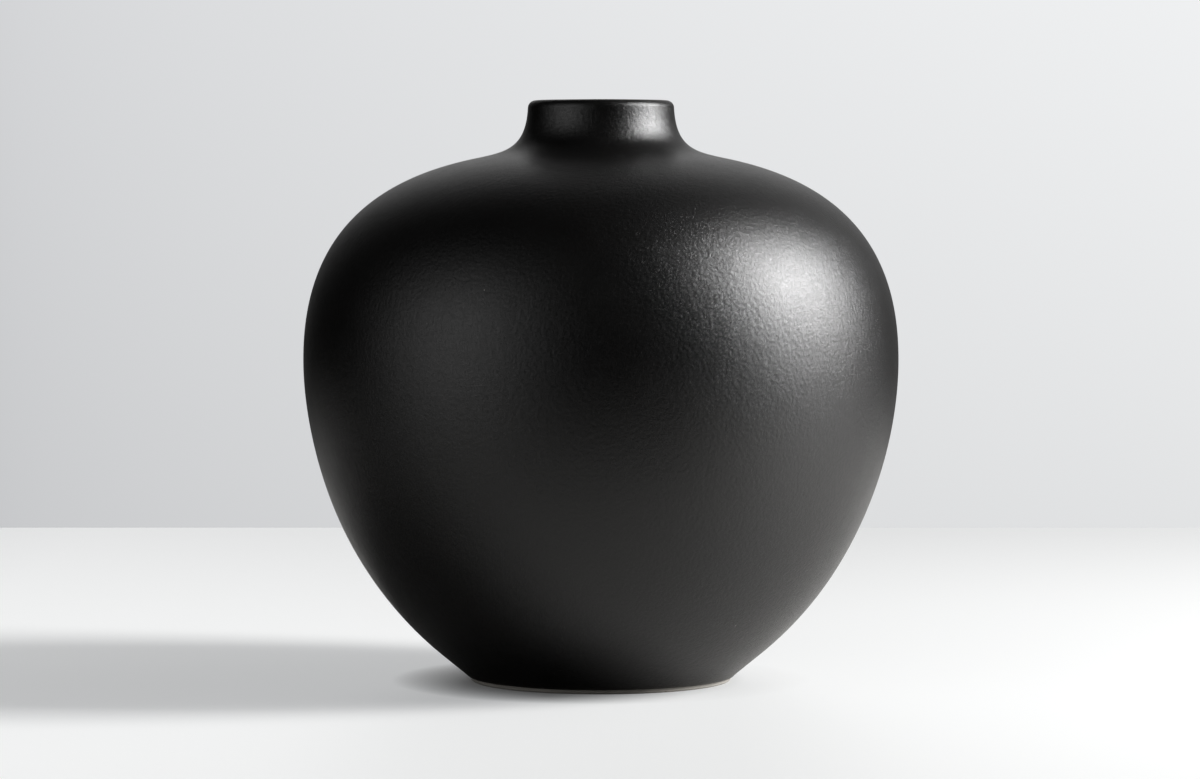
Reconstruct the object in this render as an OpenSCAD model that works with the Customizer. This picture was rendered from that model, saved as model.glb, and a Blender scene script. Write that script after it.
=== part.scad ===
// Round-bellied vase in pale fired clay with a black satin glaze.
// It is made in sections that are luted together with slip: a turned foot ring, a floor slab,
// a lower bowl, an upper bowl and a neck. Three glaze coats close it outside, inside and below.
// Every piece is a body of revolution about Z, and the foot stands on Z = 0.
// Lengths are in millimetres and angles in degrees.

/* [Overall] */
// Height from the standing face to the top of the rim
vase_h = 240; // [232:1:260]
// Largest diameter, over the glaze
belly_d = 246; // [230:1:262]
// Height of the largest diameter
belly_z = 132.5; // [125:0.5:140]

/* [Foot] */
// Diameter at which the outer glaze stops
glaze_edge_d = 110; // [96:1:116]
// Height of the band of bare clay below the outer glaze
bare_h = 1.8; // [1.2:0.1:2.6]
// Height of the foot ring, below the slip that holds it
foot_h = 3.2; // [3:0.1:5]
// Radius of the wall of the recess inside the foot ring
recess_r = 45.5; // [38:0.5:47]
// Rounding of the two edges of the standing face
foot_round = 0.8; // [0.3:0.1:1]
// How far the bare band leans in on its way down to the rounding
foot_lean = 0.3; // [0:0.1:0.5]

/* [Outline of the wall] */
// Slope of the straight stretch that leaves the foot, up from level
flare_angle = 39.5; // [36:0.5:45]
// Length of that straight stretch
flare_len = 15; // [14:0.5:20]
// How far the lower curve keeps the slope of the flare
flare_pull = 58.5; // [45:0.5:65]
// How far the lower curve runs upright below the belly
belly_pull_low = 29.5; // [20:0.5:40]
// How far the upper curve runs upright above the belly
belly_pull_high = 39; // [28:0.5:50]
// Radius at which the neck is joined to the shoulder
shoulder_r = 57; // [50:0.5:64]
// Height at which the neck is joined to the shoulder
shoulder_z = 215; // [210:0.5:220]
// Slope of the shoulder at that joint, up from level
shoulder_angle = 13.5; // [8:0.5:20]
// How far the upper curve keeps the slope of the shoulder
shoulder_pull = 51; // [35:0.5:60]
// How far the neck's curve keeps the slope of the shoulder
neck_pull_low = 15.5; // [8:0.5:20]
// How far the neck's curve keeps the slope of the rim
neck_pull_high = 19; // [10:0.5:20]

/* [Neck and rim] */
// Radius of the mouth, inside the lining
mouth_r = 25; // [20:0.5:25.5]
// Length of the straight cylindrical part of the mouth
mouth_len = 16; // [10:0.5:18]
// Rounding of the rim on its outside
rim_round_out = 3.2; // [2:0.1:3.6]
// Rounding of the rim on its inside
rim_round_in = 1.8; // [1:0.1:2]
// Width of the flat between the two roundings
rim_flat = 0.3; // [0.1:0.1:2]
// How far the neck leans inwards at the rim, from upright
neck_lean = 3; // [0:0.5:6]

/* [Wall thickness] */
// Clay at the foot end of the lower bowl
wall_foot = 6.5; // [5:0.1:8]
// Clay at the belly
wall_belly = 5; // [4:0.1:6]
// Clay at the shoulder
wall_shoulder = 4.6; // [4:0.1:6]
// Clay in the floor
floor_t = 6.2; // [5:0.1:8]
// Rounding between the floor and the wall, on the inside
floor_round = 15; // [8:1:18]
// Glaze, on the outside, on the inside and in the recess
glaze_t = 0.5; // [0.4:0.1:0.8]

/* [Joints] */
// Thickness of the slip in each joint
slip_t = 0.6; // [0.4:0.1:1]
// Depth of the ridge that keys one section into the next
key_depth = 2; // [1:0.1:3]

/* [Detail] */
// Steps in each long curve of the outline
curve_steps = 22; // [10:1:32]
// Steps in each small rounding
round_steps = 6; // [3:1:10]

/* [Hidden] */
$fn = 144;

buff = "tan";
slip_grey = "darkkhaki";
satin_black = "#1b1b1c";
liner_black = "#2a2724";

// ---- Plane geometry ----

// A unit step that points up from level by an angle.
function heading(angle) = [cos(angle), sin(angle)];
// The outward side of a line that climbs the wall from the foot to the rim.
function outward(along) = [along[1], -along[0]] / norm(along);
// A point on a cubic curve with end points a and d and handles b and c.
function curve_at(a, b, c, d, t) =
    pow(1 - t, 3) * a + 3 * t * pow(1 - t, 2) * b + 3 * t * t * (1 - t) * c + pow(t, 3) * d;
// The direction of that curve.
function curve_along(a, b, c, d, t) =
    pow(1 - t, 2) * (b - a) + 2 * t * (1 - t) * (c - b) + t * t * (d - c);
// The points of an arc about a centre.
function arc(centre, radius, from, to) =
    [for (i = [0 : round_steps]) centre + radius * heading(from + (to - from) * i / round_steps)];
function reversed(list) = [for (i = [len(list) - 1 : -1 : 0]) list[i]];

// ---- Outline ----
// A station is a point on the outer surface with the outward side there.
// The clay of the section lies below it, and all the coats are offsets along that side.

function station_line(a, b) = [[a, outward(b - a)], [b, outward(b - a)]];
function station_curve(a, b, c, d) = [for (i = [0 : curve_steps])
    let (t = i / curve_steps) [curve_at(a, b, c, d, t), outward(curve_along(a, b, c, d, t))]];

flare_way = heading(flare_angle);
flare_start = [glaze_edge_d / 2, bare_h];
flare_end = flare_start + flare_len * flare_way;
base_joint = flare_end - slip_t * flare_way;

belly_low = [belly_d / 2, belly_z - slip_t / 2];
belly_high = [belly_d / 2, belly_z + slip_t / 2];

shoulder_way = heading(180 - shoulder_angle);
shoulder_low = [shoulder_r, shoulder_z] - slip_t / 2 * shoulder_way;
shoulder_high = [shoulder_r, shoulder_z] + slip_t / 2 * shoulder_way;

rim_in_centre = [mouth_r + rim_round_in, vase_h - rim_round_in];
rim_out_centre = [mouth_r + rim_round_in + rim_flat, vase_h - rim_round_out];
neck_top = rim_out_centre + rim_round_out * heading(neck_lean);
neck_way = heading(90 + neck_lean);

flare_stations = station_line(flare_start, base_joint);
lower_stations = station_curve(flare_end, flare_end + flare_pull * flare_way,
                               belly_low - [0, belly_pull_low], belly_low);
upper_stations = station_curve(belly_high, belly_high + [0, belly_pull_high],
                               shoulder_low - shoulder_pull * shoulder_way, shoulder_low);
neck_stations = station_curve(shoulder_high, shoulder_high + neck_pull_low * shoulder_way,
                              neck_top - neck_pull_high * neck_way, neck_top);

// Clay thickness at a height, even along the flare and then thinning to the shoulder.
function wall_at(z) = lookup(z, [[flare_end[1], wall_foot], [belly_z, wall_belly],
                                 [shoulder_z, wall_shoulder]]);

// The surfaces that the stations give, from the outside in.
function coat_of(stations) = [for (s = stations) s[0]];
function clay_of(stations) = [for (s = stations) s[0] - glaze_t * s[1]];
function back_of(stations) = [for (s = stations) s[0] - (glaze_t + wall_at(s[0][1])) * s[1]];
function lining_of(stations) = [for (s = stations) s[0] - (2 * glaze_t + wall_at(s[0][1])) * s[1]];

// The outer line of the clay along the flare, at a height.
function flare_clay_r(z) =
    let (p = clay_of(flare_stations)[0]) p[0] + (z - p[1]) / tan(flare_angle);

// The rim, a chosen depth below its glaze, from the outside over to the mouth.
function rim_line(depth) = concat(
    arc(rim_out_centre, rim_round_out - depth, neck_lean, 90),
    arc(rim_in_centre, rim_round_in - depth, 90, 180));

// The floor and its rounding, a chosen height above the clay, from the axis out to the wall.
function floor_line(lift) =
    let (floor_z = foot_h + slip_t + floor_t,
         wall_start = back_of(flare_stations)[0],
         corner_r = wall_start[0] + (floor_z - wall_start[1]) / tan(flare_angle),
         centre = [corner_r - floor_round * tan(flare_angle / 2), floor_z + floor_round])
    concat([[0, floor_z + lift]], arc(centre, floor_round - lift, -90, flare_angle - 90));

// The throat under the mouth, a chosen depth inside the clay, from the neck joint up to the rim.
function throat_line(depth) =
    let (start = (shoulder_high - (glaze_t + wall_at(shoulder_z)) * outward(shoulder_way)),
         top = [mouth_r + glaze_t, rim_in_centre[1] - mouth_len],
         low_pull = start + (neck_pull_low - 2) * shoulder_way,
         high_pull = top - [0, mouth_len / 2])
    concat(
        [for (i = [0 : curve_steps])
            let (t = i / curve_steps)
            curve_at(start, low_pull, high_pull, top, t)
            - depth * outward(curve_along(start, low_pull, high_pull, top, t))],
        [[mouth_r + glaze_t - depth, rim_in_centre[1]]]);

// ---- Joint faces ----
// A joint face crosses the wall at a station, with a ridge that dips towards the foot.

function joint_face(place, along) =
    let (side = outward(along),
         outer = place - glaze_t * side,
         inner = place - (glaze_t + wall_at(place[1])) * side)
    [outer, (outer + inner) / 2 - key_depth * along, inner];

// An outline with each point that repeats the one before it left out.
function distinct(line) = [for (i = [0 : len(line) - 1])
    if (norm(line[i] - line[(i + len(line) - 1) % len(line)]) > 0.001) line[i]];

module turned(outline) {
    rotate_extrude() polygon(distinct(outline));
}

module slip_ring(low_place, high_place, along) {
    color(slip_grey)
        turned(concat(joint_face(low_place, along), reversed(joint_face(high_place, along))));
}

// ---- Clay sections ----

module foot_ring() {
    stand_r = flare_clay_r(bare_h) - foot_lean - foot_round;
    color(buff)
        turned(concat(
            arc([recess_r + foot_round, foot_round], foot_round, 180, 270),
            arc([stand_r, foot_round], foot_round, -90, 0),
            [[flare_clay_r(bare_h), bare_h],
             [flare_clay_r(foot_h), foot_h],
             [recess_r, foot_h]]));
}

module base_slab() {
    under_z = foot_h + slip_t;
    color(buff)
        turned(concat(
            [[0, under_z], [flare_clay_r(under_z), under_z]],
            joint_face(base_joint, flare_way),
            reversed(floor_line(0))));
}

module lower_body() {
    color(buff)
        turned(concat(
            reversed(joint_face(flare_end, flare_way)),
            clay_of(lower_stations),
            joint_face(belly_low, [0, 1]),
            reversed(back_of(lower_stations))));
}

module upper_body() {
    color(buff)
        turned(concat(
            reversed(joint_face(belly_high, [0, 1])),
            clay_of(upper_stations),
            joint_face(shoulder_low, shoulder_way),
            reversed(back_of(upper_stations))));
}

module neck_collar() {
    color(buff)
        turned(concat(
            reversed(joint_face(shoulder_high, shoulder_way)),
            clay_of(neck_stations),
            rim_line(glaze_t),
            reversed(throat_line(0))));
}

// ---- Slip in the joints ----

module foot_seam() {
    color(slip_grey)
        turned([[recess_r, foot_h],
                [flare_clay_r(foot_h), foot_h],
                [flare_clay_r(foot_h + slip_t), foot_h + slip_t],
                [recess_r, foot_h + slip_t]]);
}

module base_seam() {
    slip_ring(base_joint, flare_end, flare_way);
}

module belly_seam() {
    slip_ring(belly_low, belly_high, [0, 1]);
}

module neck_seam() {
    slip_ring(shoulder_low, shoulder_high, shoulder_way);
}

// ---- Glaze coats ----

module outer_glaze() {
    color(satin_black)
        turned(concat(
            coat_of(flare_stations),
            coat_of(lower_stations),
            coat_of(upper_stations),
            coat_of(neck_stations),
            rim_line(0),
            reversed(rim_line(glaze_t)),
            reversed(clay_of(neck_stations)),
            reversed(clay_of(upper_stations)),
            reversed(clay_of(lower_stations)),
            reversed(clay_of(flare_stations)),
            [[flare_clay_r(bare_h), bare_h]]));
}

module inner_glaze() {
    color(liner_black)
        turned(concat(
            floor_line(0),
            back_of([flare_stations[1]]),
            back_of(lower_stations),
            back_of(upper_stations),
            throat_line(0),
            reversed(throat_line(glaze_t)),
            reversed(lining_of(upper_stations)),
            reversed(lining_of(lower_stations)),
            reversed(lining_of([flare_stations[1]])),
            reversed(floor_line(glaze_t))));
}

module recess_glaze() {
    roof_z = foot_h + slip_t;
    corner = 2 * glaze_t;
    color(satin_black)
        turned(concat(
            [[0, roof_z - glaze_t]],
            reversed(arc([recess_r - glaze_t - corner, roof_z - glaze_t - corner], corner, 0, 90)),
            [[recess_r - glaze_t, bare_h],
             [recess_r, bare_h],
             [recess_r, roof_z],
             [0, roof_z]]));
}

foot_ring();
foot_seam();
base_slab();
base_seam();
lower_body();
belly_seam();
upper_body();
neck_seam();
neck_collar();
outer_glaze();
inner_glaze();
recess_glaze();
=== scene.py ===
"""Looks of a round-bellied vase: pale fired clay under a satin black glaze, on a pale table.

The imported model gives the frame. Each piece of the vase is turned again here as a fine
surface with the marks that making leaves on it: throwing rings, scored joints, a soft glaze
edge and a turned foot. Every piece is a grid of two parameters, the angle round the axis and
the place along a closed outline. Lengths of the vase are millimetres in the classes and
metres in the meshes.
"""

import logging
import math
from dataclasses import dataclass, field
from enum import Enum
from typing import Callable, Sequence

import bpy
import numpy as np
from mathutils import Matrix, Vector


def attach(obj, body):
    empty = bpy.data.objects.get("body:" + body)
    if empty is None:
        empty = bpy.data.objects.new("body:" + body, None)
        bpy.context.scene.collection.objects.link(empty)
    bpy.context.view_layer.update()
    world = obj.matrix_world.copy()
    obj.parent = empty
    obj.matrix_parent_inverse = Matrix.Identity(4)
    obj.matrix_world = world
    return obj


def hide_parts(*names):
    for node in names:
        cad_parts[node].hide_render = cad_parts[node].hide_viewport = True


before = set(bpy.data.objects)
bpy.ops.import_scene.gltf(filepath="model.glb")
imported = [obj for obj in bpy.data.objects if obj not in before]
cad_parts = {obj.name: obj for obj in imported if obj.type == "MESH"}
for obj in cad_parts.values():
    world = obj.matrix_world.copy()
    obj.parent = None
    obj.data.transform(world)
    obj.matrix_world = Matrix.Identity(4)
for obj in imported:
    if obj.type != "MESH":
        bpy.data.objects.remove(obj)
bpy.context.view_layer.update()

LOG = logging.getLogger("vase")
MM = 0.001
FULL_TURN = 2.0 * math.pi
BODY = "root"

THIN_ATTRIBUTE = "thin_glaze"
# Numbers of the Mix node's sockets when it mixes colours.
COLOUR_A, COLOUR_B, COLOUR_OUT = 6, 7, 2
# Values that a noise pattern mostly stays between.
NOISE_LOW, NOISE_HIGH = 0.3, 0.7
# Millimetres within which two points are one, and within which a point is on the axis.
SAME_POINT, ON_AXIS = 0.001, 1e-6
# Steps in half a joint face, along clay under the coat, in half the rim, and round the axis.
JOINT_STEPS, CLAY_STEPS, RIM_STEPS, ROUND_STEPS = 8, 26, 6, 432

Relief = Callable[[np.ndarray, np.ndarray], np.ndarray]


# ---- Outline of the vase ----


def heading(angle_deg: float) -> np.ndarray:
    """A unit step in the plane of radius and height, up from level by an angle."""
    angle = math.radians(angle_deg)
    return np.array([math.cos(angle), math.sin(angle)])


def outward(along: np.ndarray) -> np.ndarray:
    """The outward side of a line that climbs from the foot to the rim.

    Args:
        along: directions, one row each.

    Returns:
        Each direction turned a quarter turn clockwise and made one unit long.
    """
    turned = np.stack([along[:, 1], -along[:, 0]], axis=1)
    return turned / np.linalg.norm(turned, axis=1, keepdims=True)


def arc(centre: np.ndarray, radius: float, start: float, end: float, steps: int) -> np.ndarray:
    """Points of an arc: the centre plus the radius times the heading of evenly spaced angles.

    Args:
        centre: radius and height of the arc's centre.
        radius: radius of the arc.
        start: first angle in degrees.
        end: last angle in degrees.
        steps: number of steps between them.

    Returns:
        The points, one row each.
    """
    angles = np.radians(np.linspace(start, end, steps + 1))
    return np.asarray(centre) + radius * np.stack([np.cos(angles), np.sin(angles)], axis=1)


@dataclass(frozen=True)
class Curve:
    """A cubic curve with two ends and two handles, in radius and height."""

    start: np.ndarray
    leave: np.ndarray
    arrive: np.ndarray
    end: np.ndarray

    def points(self, steps: int) -> np.ndarray:
        """Points at even parameters: the four controls weighted by the cubic Bernstein terms.

        Args:
            steps: number of steps from end to end.

        Returns:
            The points, one row each.
        """
        t = np.linspace(0.0, 1.0, steps + 1)[:, None]
        s = 1.0 - t
        return (s**3 * self.start + 3 * s**2 * t * self.leave
                + 3 * s * t**2 * self.arrive + t**3 * self.end)

    def sides(self, steps: int) -> np.ndarray:
        """Outward sides at the same parameters, from the curve's derivative.

        Args:
            steps: number of steps from end to end.

        Returns:
            A unit direction for each point, one row each.
        """
        t = np.linspace(0.0, 1.0, steps + 1)[:, None]
        s = 1.0 - t
        along = (s**2 * (self.leave - self.start) + 2 * s * t * (self.arrive - self.leave)
                 + t**2 * (self.end - self.arrive))
        return outward(along)


@dataclass(frozen=True)
class Stretch:
    """A stretch of the outer surface: points over the glaze and the outward side at each."""

    places: np.ndarray
    sides: np.ndarray

    def inset(self, depth: float | np.ndarray) -> np.ndarray:
        """The line that lies a depth below the outer surface."""
        return self.places - np.reshape(depth, (-1, 1)) * self.sides


@dataclass
class VaseForm:
    """Driving lengths of the vase in millimetres, and its slopes in degrees.

    A name that ends in r is a radius, in z or h a height, and in t a thickness. A pull is the
    length of a curve's handle along the slope that the curve has at that end. The last fields
    are places and directions that follow from the lengths.
    """

    height: float = 240.0
    belly_r: float = 123.0
    belly_z: float = 132.5
    glaze_edge_r: float = 55.0
    bare_h: float = 1.8
    foot_h: float = 3.2
    recess_r: float = 45.5
    foot_round: float = 0.8
    foot_lean: float = 0.3
    flare_angle: float = 39.5
    flare_len: float = 15.0
    flare_pull: float = 58.5
    belly_pull_low: float = 29.5
    belly_pull_high: float = 39.0
    shoulder_r: float = 57.0
    shoulder_z: float = 215.0
    shoulder_angle: float = 13.5
    shoulder_pull: float = 51.0
    neck_pull_low: float = 15.5
    neck_pull_high: float = 19.0
    throat_pull: float = 13.5
    mouth_r: float = 25.0
    mouth_len: float = 16.0
    rim_round_out: float = 3.2
    rim_round_in: float = 1.8
    rim_flat: float = 0.3
    neck_lean: float = 3.0
    wall_foot: float = 6.5
    wall_belly: float = 5.0
    wall_shoulder: float = 4.6
    floor_t: float = 6.2
    floor_round: float = 15.0
    glaze_t: float = 0.5
    slip_t: float = 0.6
    key_depth: float = 2.0

    flare_way: np.ndarray = field(init=False)
    shoulder_way: np.ndarray = field(init=False)
    flare_end: np.ndarray = field(init=False)
    base_joint: np.ndarray = field(init=False)
    belly_low: np.ndarray = field(init=False)
    belly_high: np.ndarray = field(init=False)
    shoulder_low: np.ndarray = field(init=False)
    shoulder_high: np.ndarray = field(init=False)
    rim_in: np.ndarray = field(init=False)
    rim_out: np.ndarray = field(init=False)

    def __post_init__(self) -> None:
        """Work out the ends of the stretches and the centres of the rim's roundings."""
        half_slip = self.slip_t / 2
        self.flare_way = heading(self.flare_angle)
        self.shoulder_way = heading(180.0 - self.shoulder_angle)
        flare_start = np.array([self.glaze_edge_r, self.bare_h])
        self.flare_end = flare_start + self.flare_len * self.flare_way
        self.base_joint = self.flare_end - self.slip_t * self.flare_way
        self.belly_low = np.array([self.belly_r, self.belly_z - half_slip])
        self.belly_high = np.array([self.belly_r, self.belly_z + half_slip])
        shoulder = np.array([self.shoulder_r, self.shoulder_z])
        self.shoulder_low = shoulder - half_slip * self.shoulder_way
        self.shoulder_high = shoulder + half_slip * self.shoulder_way
        self.rim_in = np.array([self.mouth_r + self.rim_round_in,
                                self.height - self.rim_round_in])
        self.rim_out = np.array([self.rim_in[0] + self.rim_flat,
                                 self.height - self.rim_round_out])

    def flare(self, steps: int) -> Stretch:
        """The straight stretch from the glaze edge to the joint over the floor.

        Args:
            steps: number of steps from end to end.

        Returns:
            The stretch, with the same outward side all along.
        """
        start = np.array([self.glaze_edge_r, self.bare_h])
        share = np.linspace(0.0, 1.0, steps + 1)[:, None]
        places = start + share * (self.base_joint - start)
        return Stretch(places, np.repeat(outward(self.flare_way[None, :]), steps + 1, axis=0))

    def lower(self, steps: int) -> Stretch:
        """The curve from the floor joint up to the belly joint.

        Args:
            steps: number of steps from end to end.

        Returns:
            The stretch.
        """
        curve = Curve(self.flare_end, self.flare_end + self.flare_pull * self.flare_way,
                      self.belly_low - [0.0, self.belly_pull_low], self.belly_low)
        return Stretch(curve.points(steps), curve.sides(steps))

    def upper(self, steps: int) -> Stretch:
        """The curve from the belly joint over the shoulder to the neck joint.

        Args:
            steps: number of steps from end to end.

        Returns:
            The stretch.
        """
        curve = Curve(self.belly_high, self.belly_high + [0.0, self.belly_pull_high],
                      self.shoulder_low - self.shoulder_pull * self.shoulder_way,
                      self.shoulder_low)
        return Stretch(curve.points(steps), curve.sides(steps))

    def neck(self, steps: int) -> Stretch:
        """The hollow curve from the neck joint up to the rounding of the rim.

        Args:
            steps: number of steps from end to end.

        Returns:
            The stretch.
        """
        top = self.rim_out + self.rim_round_out * heading(self.neck_lean)
        curve = Curve(self.shoulder_high,
                      self.shoulder_high + self.neck_pull_low * self.shoulder_way,
                      top - self.neck_pull_high * heading(90.0 + self.neck_lean), top)
        return Stretch(curve.points(steps), curve.sides(steps))

    def wall(self, heights: np.ndarray) -> np.ndarray:
        """Clay thickness at each height: even on the flare, then thinner to the shoulder."""
        return np.interp(heights, [self.flare_end[1], self.belly_z, self.shoulder_z],
                         [self.wall_foot, self.wall_belly, self.wall_shoulder])

    def back(self, stretch: Stretch, extra: float = 0.0) -> np.ndarray:
        """The inner line of the clay behind a stretch, and an extra depth inside it."""
        return stretch.inset(self.glaze_t + self.wall(stretch.places[:, 1]) + extra)

    def flare_clay_r(self, height: float) -> float:
        """Radius of the clay under the glaze of the flare, at a height."""
        start = self.flare(1).inset(self.glaze_t)[0]
        return start[0] + (height - start[1]) / math.tan(math.radians(self.flare_angle))

    def rim(self, depth: float, steps: int) -> np.ndarray:
        """The rim from its outside over to the mouth, a depth below its glaze.

        Args:
            depth: how far below the glaze the line lies.
            steps: steps in each of its two roundings.

        Returns:
            The points, one row each.
        """
        return np.concatenate([
            arc(self.rim_out, self.rim_round_out - depth, self.neck_lean, 90.0, steps),
            arc(self.rim_in, self.rim_round_in - depth, 90.0, 180.0, steps)])

    def floor(self, lift: float, steps: int) -> np.ndarray:
        """The floor and its rounding into the wall, from the axis outwards.

        Args:
            lift: height above the clay.
            steps: steps in the flat part and in the rounding.

        Returns:
            The points, one row each.
        """
        floor_z = self.foot_h + self.slip_t + self.floor_t
        wall_start = self.back(self.flare(1))[0]
        slope = math.radians(self.flare_angle)
        corner_r = wall_start[0] + (floor_z - wall_start[1]) / math.tan(slope)
        centre = np.array([corner_r - self.floor_round * math.tan(slope / 2),
                           floor_z + self.floor_round])
        flat_r = np.linspace(0.0, centre[0], steps + 1)[:-1]
        flat = np.stack([flat_r, np.full_like(flat_r, floor_z + lift)], axis=1)
        return np.concatenate([flat, arc(centre, self.floor_round - lift, -90.0,
                                         self.flare_angle - 90.0, steps)])

    def throat(self, depth: float, steps: int) -> np.ndarray:
        """The inside of the neck, from the neck joint up to the rim.

        Args:
            depth: how far inside the clay the line lies.
            steps: steps in the curve and in the straight mouth.

        Returns:
            The points, one row each.
        """
        joint = Stretch(self.shoulder_high[None, :], outward(self.shoulder_way[None, :]))
        start = self.back(joint)[0]
        top = np.array([self.mouth_r + self.glaze_t, self.rim_in[1] - self.mouth_len])
        curve = Curve(start, start + self.throat_pull * self.shoulder_way,
                      top - [0.0, self.mouth_len / 2], top)
        bend = curve.points(steps) - depth * curve.sides(steps)
        mouth_z = np.linspace(top[1], self.rim_in[1], steps + 1)[1:]
        mouth = np.stack([np.full_like(mouth_z, top[0] - depth), mouth_z], axis=1)
        return np.concatenate([bend, mouth])

    def joint_face(self, place: np.ndarray, along: np.ndarray, steps: int) -> np.ndarray:
        """The face of a joint across the wall, with a ridge that dips towards the foot.

        Args:
            place: the joint's place on the outer surface.
            along: unit direction of the wall there, towards the rim.
            steps: steps on each side of the ridge.

        Returns:
            Points from the outer line of the clay to the inner line, one row each.
        """
        joint = Stretch(place[None, :], outward(along[None, :]))
        outer = joint.inset(self.glaze_t)[0]
        inner = self.back(joint)[0]
        crest = (outer + inner) / 2 - self.key_depth * along
        share = np.linspace(0.0, 1.0, steps + 1)[:, None]
        return np.concatenate([outer + share * (crest - outer),
                               (crest + share * (inner - crest))[1:]])


# ---- Turned meshes ----


def no_relief(angles: np.ndarray, line: np.ndarray) -> np.ndarray:
    """A relief of zero everywhere, for a plainly turned skin."""
    return np.zeros((len(angles), len(line)))


def straight(start: Sequence[float], end: Sequence[float], steps: int) -> np.ndarray:
    """Evenly spaced points from a start to an end, one row each."""
    return np.linspace(start, end, steps + 1)


def soft_corner(before: np.ndarray, corner: np.ndarray, after: np.ndarray, reach: float,
                steps: int) -> np.ndarray:
    """A corner rounded by a parabola that starts and ends a reach away from it.

    Args:
        before: a point on the line that arrives.
        corner: the corner itself.
        after: a point on the line that leaves.
        reach: distance from the corner to each end of the rounding.
        steps: number of steps in the rounding.

    Returns:
        The points of the rounding, one row each.
    """
    start = corner + reach * (before - corner) / np.linalg.norm(before - corner)
    end = corner + reach * (after - corner) / np.linalg.norm(after - corner)
    t = np.linspace(0.0, 1.0, steps + 1)[:, None]
    return (1 - t) ** 2 * start + 2 * t * (1 - t) * corner + t**2 * end


def between_ends(line: np.ndarray, humps: int = 1) -> np.ndarray:
    """A share for each point that is zero at the ends of the line and full between them.

    Args:
        line: points, one row each.
        humps: equal parts of the line that each have the share at full in their middle.

    Returns:
        The size of the sine of half a turn per part, by point.
    """
    return np.abs(np.sin(math.pi * humps * np.linspace(0.0, 1.0, len(line))))


@dataclass
class Outline:
    """A closed outline, counter-clockwise in radius and height, with marks on each part."""

    lines: list[np.ndarray] = field(default_factory=list)
    reliefs: list[Relief] = field(default_factory=list)
    shares: list[np.ndarray] = field(default_factory=list)
    thins: list[np.ndarray] = field(default_factory=list)

    def add(self, line: np.ndarray, relief: Relief = no_relief,
            share: np.ndarray | float = 1.0, thin: np.ndarray | float = 0.0) -> "Outline":
        """Carry the outline on along a line.

        Args:
            line: points in millimetres, one row each.
            relief: the marks on the skin that the line turns.
            share: how much of the relief each point takes.
            thin: how far the coat has run thin at each point.

        Returns:
            The outline itself, so that calls can follow each other.
        """
        self.lines.append(np.asarray(line, dtype=float))
        self.reliefs.append(relief)
        self.shares.append(np.broadcast_to(np.asarray(share, dtype=float), (len(line),)))
        self.thins.append(np.broadcast_to(np.asarray(thin, dtype=float), (len(line),)))
        return self

    def points(self) -> np.ndarray:
        """All points in order, one row each."""
        return np.concatenate(self.lines)

    def push(self, angles: np.ndarray) -> np.ndarray:
        """Relief by angle and by point: each line's own relief times its share."""
        return np.concatenate([share[None, :] * relief(angles, line) for line, relief, share
                               in zip(self.lines, self.reliefs, self.shares)], axis=1)


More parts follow.
